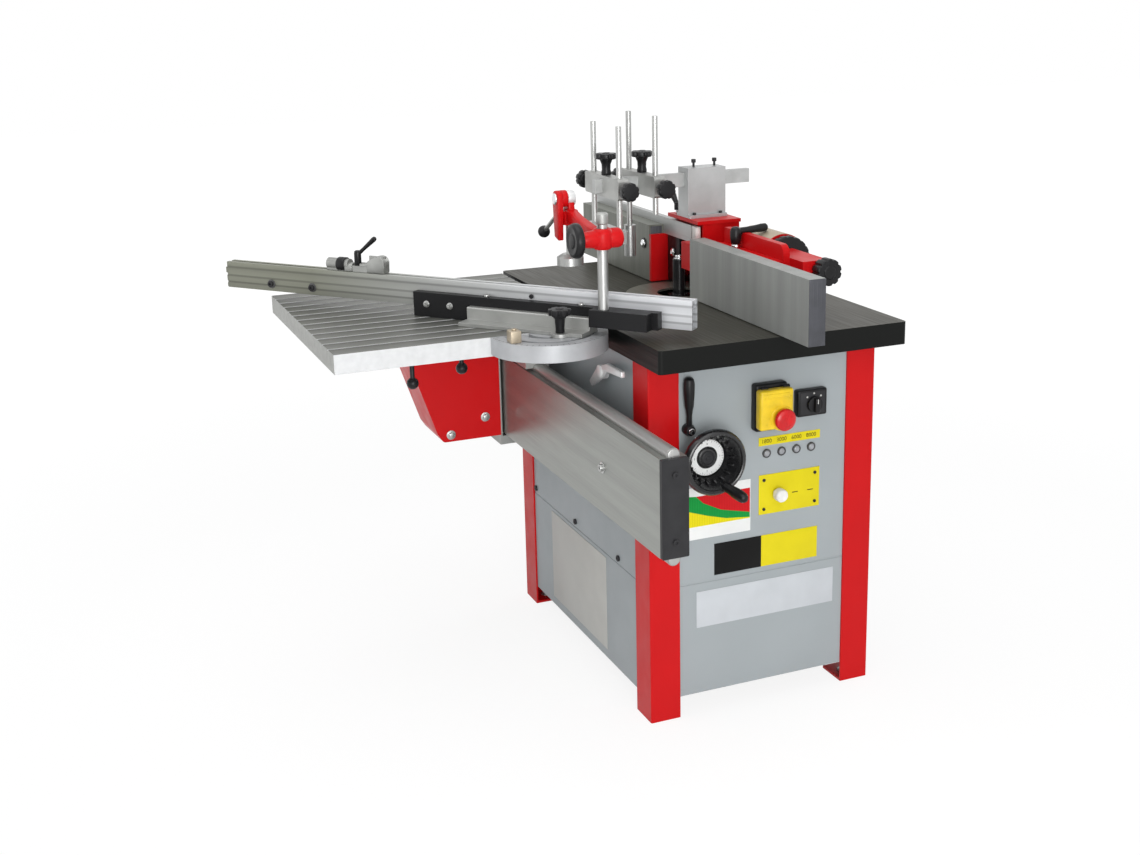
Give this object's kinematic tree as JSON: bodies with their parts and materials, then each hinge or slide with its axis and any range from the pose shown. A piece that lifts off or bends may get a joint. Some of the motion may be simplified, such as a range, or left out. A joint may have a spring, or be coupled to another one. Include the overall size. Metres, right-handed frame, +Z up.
{
  "type": "spindle moulder",
  "caption": "Floor-standing spindle moulder with red angle-post stand, cast table, sliding cross-cut table with mitre fence, hooded split fence, pressure unit and height handwheel.",
  "frame": {"origin": "on the floor, midway between the four posts' anchor holes", "axes": "+X along the feed towards the control panel, +Y from the operator to the fence, +Z up"},
  "size_m": [1.3, 1.2567, 1.266],
  "materials": {
    "red_paint": "semi-gloss red paint",
    "grey_paint": "light grey paint",
    "black_paint": "satin black paint",
    "motor_paint": "dark grey paint",
    "table_iron": "ground dark cast iron",
    "inner_iron": "machined cast iron",
    "steel": "bright turned steel",
    "aluminium": "satin extruded aluminium",
    "cast_aluminium": "matt cast aluminium",
    "black_plastic": "black moulded plastic",
    "yellow_plastic": "yellow moulded plastic",
    "red_plastic": "red moulded plastic",
    "white_plastic": "white moulded plastic",
    "belt_rubber": "black rubber"
  },
  "bodies": {
    "stand": {"post_frame": "red_paint", "panel_control": "grey_paint", "panel_front": "grey_paint", "blank_panels": "grey_paint", "table": "table_iron", "table_rings": "steel", "beam": "aluminium", "beam_guides": "steel", "beam_caps": "black_plastic", "lift_frame": "inner_iron", "control_boxes": "black_plastic", "speed_lamps": "steel"},
    "handwheel": {"handwheel": "black_plastic"},
    "grip": {"handwheel_grip": "black_plastic"},
    "height_clamp": {"height_clamp_lever": "black_plastic"},
    "quill": {"quill_housing": "inner_iron", "motor": "motor_paint", "drive_belt": "belt_rubber"},
    "spindle": {"spindle": "steel"},
    "rotor": {"motor_pulley": "inner_iron"},
    "lift_screw": {"lift_screw": "steel"},
    "switch_cover": {"switch_flap": "yellow_plastic"},
    "stop_button": {"emergency_button": "red_plastic"},
    "selector": {"selector_knob": "black_plastic"},
    "lock": {"lock_knob": "white_plastic"},
    "hook": {"carriage_hook": "steel"},
    "fence_unit": {"hood": "red_paint", "hood_block": "cast_aluminium", "outfeed_carrier": "red_paint", "outfeed_rail": "aluminium"},
    "outfeed": {"outfeed_plate": "aluminium"},
    "infeed": {"infeed_carrier": "red_paint"},
    "infeed_face": {"infeed_plate": "aluminium"},
    "depth_knob": {"depth_knob": "black_plastic"},
    "infeed_knob": {"infeed_knob": "black_plastic"},
    "fence_lever": {"fence_clamp_lever": "black_plastic"},
    "pressure": {"pressure_bar": "aluminium", "head_front": "cast_aluminium", "head_rear": "cast_aluminium", "side_knobs": "black_plastic"},
    "star_front": {"star_knob_front": "black_plastic"},
    "star_rear": {"star_knob_rear": "black_plastic"},
    "front_rods": {"front_rods": "steel"},
    "rear_rods": {"rear_rods": "steel"},
    "carriage": {"carriage": "cast_aluminium", "gusset": "red_paint", "cross_table": "aluminium", "mitre_disc": "cast_aluminium", "ball_knobs": "black_plastic"},
    "mitre": {"mitre_carrier": "cast_aluminium", "mitre_holder": "black_paint", "clamp_pillar": "steel"},
    "mitre_knob": {"mitre_knob": "black_plastic"},
    "mitre_fence": {"mitre_fence": "aluminium"},
    "flip_stop": {"flip_stop": "aluminium"},
    "stop_lever": {"stop_lever": "black_plastic"},
    "clamp_arm": {"clamp_arm": "red_paint"},
    "clamp_knob": {"clamp_knob": "black_plastic"},
    "clamp_lever": {"clamp_cam_lever": "red_paint"},
    "plunger": {"clamp_plunger": "steel"}
  },
  "joints": [
    {"name": "handwheel_turn", "type": "hinge", "parent": "stand", "child": "handwheel", "pos_m": [0.41, -0.153, 0.598], "axis": [1, 0, 0], "range_deg": [-5852, 3152]},
    {"name": "quill_lift", "type": "slide", "parent": "stand", "child": "quill", "axis": [0, 0, 1], "range_m": [-0.065, 0.035]},
    {"name": "lift_screw_turn", "type": "hinge", "parent": "stand", "child": "lift_screw", "pos_m": [-0.028, -0.153, 0.6], "axis": [0, 0, 1], "range_deg": [-5852, 3152]},
    {"name": "rotor_spin", "type": "hinge", "parent": "quill", "child": "rotor", "pos_m": [-0.243, 0.002, 0.6], "axis": [0, 0, 1], "continuous": true},
    {"name": "spindle_spin", "type": "hinge", "parent": "quill", "child": "spindle", "pos_m": [-0.028, 0.002, 0.7], "axis": [0, 0, 1], "continuous": true},
    {"name": "grip_spin", "type": "hinge", "parent": "handwheel", "child": "grip", "pos_m": [0.5, -0.13127, 0.54422], "axis": [1, 0, 0], "continuous": true},
    {"name": "height_clamp_turn", "type": "hinge", "parent": "stand", "child": "height_clamp", "pos_m": [0.4, -0.182, 0.655], "axis": [1, 0, 0], "range_deg": [-60, 0]},
    {"name": "switch_cover_hinge", "type": "hinge", "parent": "stand", "child": "switch_cover", "pos_m": [0.4173, 0.01, 0.727], "axis": [0, -1, 0], "range_deg": [0, 85]},
    {"name": "emergency_press", "type": "slide", "parent": "switch_cover", "child": "stop_button", "axis": [-1, 0, 0], "range_m": [0, 0.006], "stiffness_N_per_m": 600, "springref_m": -0.002},
    {"name": "selector_turn", "type": "hinge", "parent": "stand", "child": "selector", "pos_m": [0.42, 0.111, 0.676], "axis": [1, 0, 0], "range_deg": [-45, 45]},
    {"name": "lock_knob_push", "type": "slide", "parent": "stand", "child": "lock", "axis": [-1, 0, 0], "range_m": [0, 0.01], "stiffness_N_per_m": 300, "springref_m": -0.002},
    {"name": "hook_turn", "type": "hinge", "parent": "stand", "child": "hook", "pos_m": [0.185, -0.28, 0.742], "axis": [0, 1, 0], "range_deg": [-20, 40]},
    {"name": "fence_depth", "type": "slide", "parent": "stand", "child": "fence_unit", "axis": [0, 1, 0], "range_m": [0, 0.06]},
    {"name": "outfeed_slide", "type": "slide", "parent": "fence_unit", "child": "outfeed", "axis": [-1, 0, 0], "range_m": [0, 0.06]},
    {"name": "infeed_depth", "type": "slide", "parent": "fence_unit", "child": "infeed", "axis": [0, 1, 0], "range_m": [-0.008, 0.008]},
    {"name": "infeed_slide", "type": "slide", "parent": "infeed", "child": "infeed_face", "axis": [1, 0, 0], "range_m": [0, 0.05]},
    {"name": "depth_knob_turn", "type": "hinge", "parent": "infeed", "child": "depth_knob", "pos_m": [0.21, 0.15, 0.95], "axis": [1, 0, 0], "range_deg": [-1441, 1441]},
    {"name": "infeed_knob_turn", "type": "hinge", "parent": "infeed", "child": "infeed_knob", "pos_m": [0.39, 0.14, 0.96], "axis": [1, 0, 0], "range_deg": [-1, 3601]},
    {"name": "fence_clamp_turn", "type": "hinge", "parent": "infeed", "child": "fence_lever", "pos_m": [0.14, 0.062, 0.98], "axis": [0, 0, 1], "range_deg": [-20, 60]},
    {"name": "pressure_slide", "type": "slide", "parent": "fence_unit", "child": "pressure", "axis": [0, 1, 0], "range_m": [-0.05, 0.03]},
    {"name": "star_front_turn", "type": "hinge", "parent": "pressure", "child": "star_front", "pos_m": [-0.0615, -0.164, 1.15], "axis": [0, 0, 1], "range_deg": [-180, 180]},
    {"name": "star_rear_turn", "type": "hinge", "parent": "pressure", "child": "star_rear", "pos_m": [-0.0615, -0.075, 1.15], "axis": [0, 0, 1], "range_deg": [-180, 180]},
    {"name": "front_rods_slide", "type": "slide", "parent": "pressure", "child": "front_rods", "axis": [0, 0, 1], "range_m": [-0.1, 0.06]},
    {"name": "rear_rods_slide", "type": "slide", "parent": "pressure", "child": "rear_rods", "axis": [0, 0, 1], "range_m": [-0.07, 0.04]},
    {"name": "carriage_slide", "type": "slide", "parent": "stand", "child": "carriage", "axis": [1, 0, 0], "range_m": [-0.2, 0.45]},
    {"name": "mitre_swing", "type": "hinge", "parent": "carriage", "child": "mitre", "pos_m": [0.212, -0.417, 0.86], "axis": [0, 0, 1], "range_deg": [-10.5, 49.5]},
    {"name": "mitre_knob_turn", "type": "hinge", "parent": "mitre", "child": "mitre_knob", "pos_m": [0.26151, -0.41004, 0.88], "axis": [0, 0, 1], "range_deg": [-180, 180]},
    {"name": "mitre_fence_slide", "type": "slide", "parent": "mitre", "child": "mitre_fence", "axis": [0.7604, 0.6494, 0], "range_m": [-0.1, 0.1]},
    {"name": "stop_slide", "type": "slide", "parent": "mitre_fence", "child": "flip_stop", "axis": [0.7604, 0.6494, 0], "range_m": [-0.15, 0.25]},
    {"name": "stop_clamp_turn", "type": "hinge", "parent": "flip_stop", "child": "stop_lever", "pos_m": [-0.22238, -0.70909, 0.96], "axis": [0, 0, 1], "range_deg": [-60, 60]},
    {"name": "clamp_arm_swing", "type": "hinge", "parent": "mitre", "child": "clamp_arm", "pos_m": [0.29026, -0.32386, 1.052], "axis": [0, 0, 1], "range_deg": [-10, 120]},
    {"name": "clamp_knob_turn", "type": "hinge", "parent": "clamp_arm", "child": "clamp_knob", "pos_m": [0.29026, -0.32386, 1.052], "axis": [0, -1, 0], "range_deg": [-180, 180]},
    {"name": "clamp_lever_turn", "type": "hinge", "parent": "clamp_arm", "child": "clamp_lever", "pos_m": [0.10926, -0.32386, 1.112], "axis": [0, 1, 0], "range_deg": [0, 100]},
    {"name": "plunger_slide", "type": "slide", "parent": "clamp_arm", "child": "plunger", "axis": [0, 0, 1], "range_m": [0, 0.008]}
  ],
  "couplings": [
    {"joint": "handwheel_turn", "follows": "quill_lift", "rad_per_m": 1570.8},
    {"joint": "lift_screw_turn", "follows": "quill_lift", "rad_per_m": 1570.8},
    {"joint": "spindle_spin", "follows": "rotor_spin", "ratio": 0.69091},
    {"joint": "depth_knob_turn", "follows": "infeed_depth", "rad_per_m": 3141.6},
    {"joint": "infeed_knob_turn", "follows": "infeed_slide", "rad_per_m": 1256.6},
    {"joint": "plunger_slide", "follows": "clamp_lever_turn", "m_per_rad": 0.0045}
  ]
}
